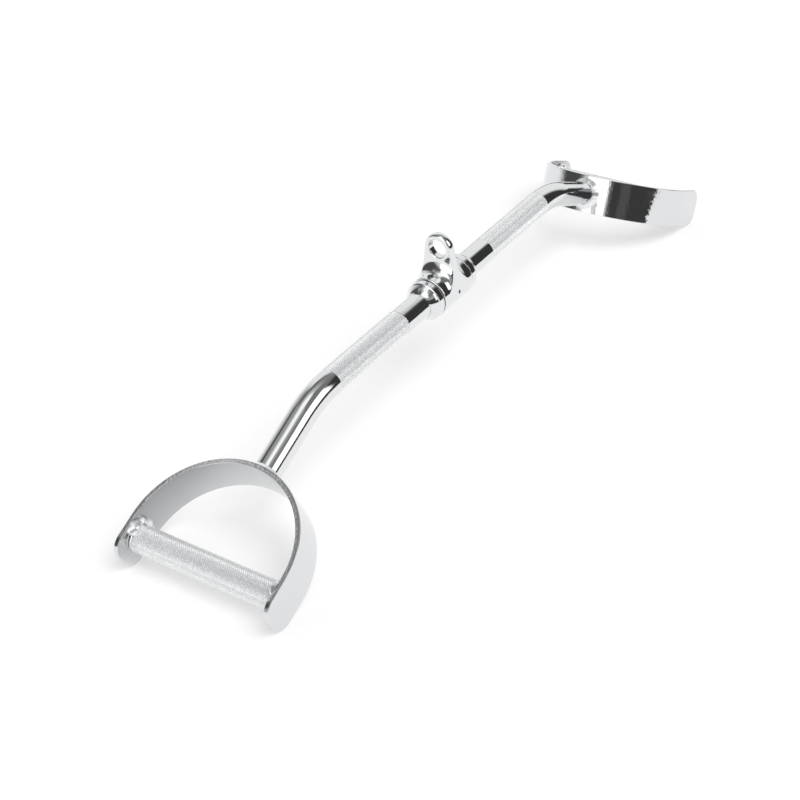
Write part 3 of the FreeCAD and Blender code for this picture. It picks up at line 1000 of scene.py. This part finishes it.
def studioWorld():
    world = bpy.data.worlds.new("studio")
    bpy.context.scene.world = world
    world.use_nodes = True
    tree = world.node_tree
    tree.nodes.clear()
    direction = addNode(tree, "ShaderNodeTexCoord").outputs["Generated"]
    height = addNode(tree, "ShaderNodeSeparateXYZ", links={"Vector": direction}).outputs["Z"]
    elevation = addNode(tree, "ShaderNodeMath", {"operation": "ARCSINE"}, {0: height}).outputs["Value"]
    ramp = addNode(tree, "ShaderNodeValToRGB", links={
        "Fac": addNode(tree, "ShaderNodeMapRange", {
            "From Min": -quarterTurn, "From Max": quarterTurn,
        }, {"Value": elevation}).outputs["Result"],
    })
    while len(ramp.color_ramp.elements) > 1:
        ramp.color_ramp.elements.remove(ramp.color_ramp.elements[-1])
    for index, (degrees, grey) in enumerate(skySteps):
        place = degrees / 180 + 0.5
        stop = ramp.color_ramp.elements[0] if index == 0 else ramp.color_ramp.elements.new(place)
        stop.position = place
        stop.color = (grey, grey, grey, 1)
    seen = ramp.outputs["Color"]
    for panel in studioPanels:
        turnedTo = addNode(tree, "ShaderNodeVectorRotate", {
            "rotation_type": "Z_AXIS", "Angle": -math.radians(panel["azimuth"]),
        }, {"Vector": direction})
        parts = addNode(tree, "ShaderNodeSeparateXYZ", links={"Vector": turnedTo.outputs["Vector"]})
        azimuth = addNode(tree, "ShaderNodeMath", {"operation": "ARCTAN2"}, {
            0: parts.outputs["Y"], 1: parts.outputs["X"],
        })
        away = addNode(tree, "ShaderNodeMath", {"operation": "ABSOLUTE"}, {0: azimuth.outputs["Value"]})
        mask = None
        bands = (
            (away.outputs["Value"], panel["half"] + panel["soft"], panel["half"] - panel["soft"]),
            (elevation, panel["low"] - panel["softRim"], panel["low"] + panel["softRim"]),
            (elevation, panel["high"] + panel["softRim"], panel["high"] - panel["softRim"]),
        )
        for source, outer, inner in bands:
            band = addNode(tree, "ShaderNodeMapRange", {
                "interpolation_type": "SMOOTHSTEP",
                "From Min": math.radians(outer), "From Max": math.radians(inner),
            }, {"Value": source}).outputs["Result"]
            if mask is not None:
                both = addNode(tree, "ShaderNodeMath", {"operation": "MULTIPLY"}, {0: band, 1: mask})
                band = both.outputs["Value"]
            mask = band
        grey = panel["grey"]
        seen = addNode(tree, "ShaderNodeMix", {"data_type": "RGBA", 7: (grey, grey, grey, 1)}, {
            0: mask, 6: seen,
        }).outputs[2]
    path = addNode(tree, "ShaderNodeLightPath")
    pale = studioValues["skyForFloor"]
    plain = addNode(tree, "ShaderNodeMix", {
        "data_type": "RGBA", 6: (pale, pale, pale, 1), 7: (1, 1, 1, 1),
    }, {0: path.outputs["Is Camera Ray"]})
    shown = addNode(tree, "ShaderNodeMix", {"data_type": "RGBA"}, {
        0: path.outputs["Is Glossy Ray"], 6: plain.outputs[2], 7: seen,
    })
    background = addNode(tree, "ShaderNodeBackground", links={"Color": shown.outputs[2]})
    addNode(tree, "ShaderNodeOutputWorld", links={"Surface": background.outputs["Background"]})


def studioFloor():
    values = studioValues
    # Matt white paper on a table: nearly even white, with a soft shadow
    material, tree = newMaterial("matt white paper")
    path = addNode(tree, "ShaderNodeLightPath")
    seen = addNode(tree, "ShaderNodeMath", {"operation": "MAXIMUM"}, {
        0: path.outputs["Is Camera Ray"], 1: path.outputs["Is Glossy Ray"],
    })
    lift = addNode(tree, "ShaderNodeMath", {"operation": "MULTIPLY", 1: values["whiteShare"]}, {
        0: seen.outputs["Value"],
    })
    paper = addNode(tree, "ShaderNodeBsdfDiffuse", {"Color": linear(values["floorColour"])})
    white = addNode(tree, "ShaderNodeEmission", {"Color": (1, 1, 1, 1), "Strength": 1.0})
    lit = addNode(tree, "ShaderNodeMixShader", links={
        0: lift.outputs["Value"], 1: paper.outputs["BSDF"], 2: white.outputs["Emission"],
    })
    place = addNode(tree, "ShaderNodeTexCoord").outputs["Object"]
    out = addNode(tree, "ShaderNodeVectorMath", {
        "operation": "DOT_PRODUCT", 1: (math.cos(values["sheetTurn"]), math.sin(values["sheetTurn"]), 0),
    }, {0: place})
    past = addNode(tree, "ShaderNodeMapRange", {
        "From Min": values["sheetReach"], "From Max": values["sheetReach"] + values["sheetSoft"],
    }, {"Value": out.outputs["Value"]})
    dark = addNode(tree, "ShaderNodeMath", {"operation": "MULTIPLY"}, {
        0: past.outputs["Result"], 1: path.outputs["Is Glossy Ray"],
    })
    room = addNode(tree, "ShaderNodeEmission", {"Color": (1, 1, 1, 1), "Strength": values["roomGrey"]})
    shown = addNode(tree, "ShaderNodeMixShader", links={
        0: dark.outputs["Value"], 1: lit.outputs["Shader"], 2: room.outputs["Emission"],
    })
    addNode(tree, "ShaderNodeOutputMaterial", links={"Surface": shown.outputs["Shader"]})
    bm = bmesh.new()
    bmesh.ops.create_grid(bm, x_segments=1, y_segments=1, size=values["floorHalf"])
    mesh = bpy.data.meshes.new("floor")
    bm.to_mesh(mesh)
    bm.free()
    mesh.materials.append(material)
    floor = bpy.data.objects.new("floor", mesh)
    bpy.context.scene.collection.objects.link(floor)
    lamp = bpy.data.lights.new("overhead light", "SUN")
    lamp.energy = values["sunStrength"]
    lamp.angle = values["sunAngle"]
    lampObject = bpy.data.objects.new("overhead light", lamp)
    lampObject.rotation_euler = values["sunTurn"]
    lampObject.visible_glossy = False  # the chrome sees the panels of the world instead
    bpy.context.scene.collection.objects.link(lampObject)


studioWorld()
studioFloor()


# The photo's viewing angle; the roll is in radians, the lens and the sensor in millimetres
cameraValues = {
    "place": Vector((-1.0352, -0.7175, 0.8656)),
    "lookAt": Vector((-0.0918, -0.0088, 0.0264)),
    "roll": -0.0851,
    "lens": 70.84,
    "sensor": 36.0,
}


def makeCamera():
    values = cameraValues
    camera = bpy.data.cameras.new("camera")
    camera.lens = values["lens"]
    camera.sensor_width = values["sensor"]
    camera.sensor_fit = "HORIZONTAL"
    back = (values["place"] - values["lookAt"]).normalized()
    level = (-back).cross(Vector((0, 0, 1))).normalized()
    rise = level.cross(-back)
    turn = values["roll"]
    right = level * math.cos(turn) + rise * math.sin(turn)
    upward = rise * math.cos(turn) - level * math.sin(turn)
    cameraObject = bpy.data.objects.new("camera", camera)
    pose = Matrix((right, upward, back)).transposed().to_4x4()
    cameraObject.matrix_world = Matrix.Translation(values["place"]) @ pose
    bpy.context.scene.collection.objects.link(cameraObject)
    bpy.context.scene.camera = cameraObject


makeCamera()
bpy.context.scene.view_settings.view_transform = "Standard"

print("scene made")
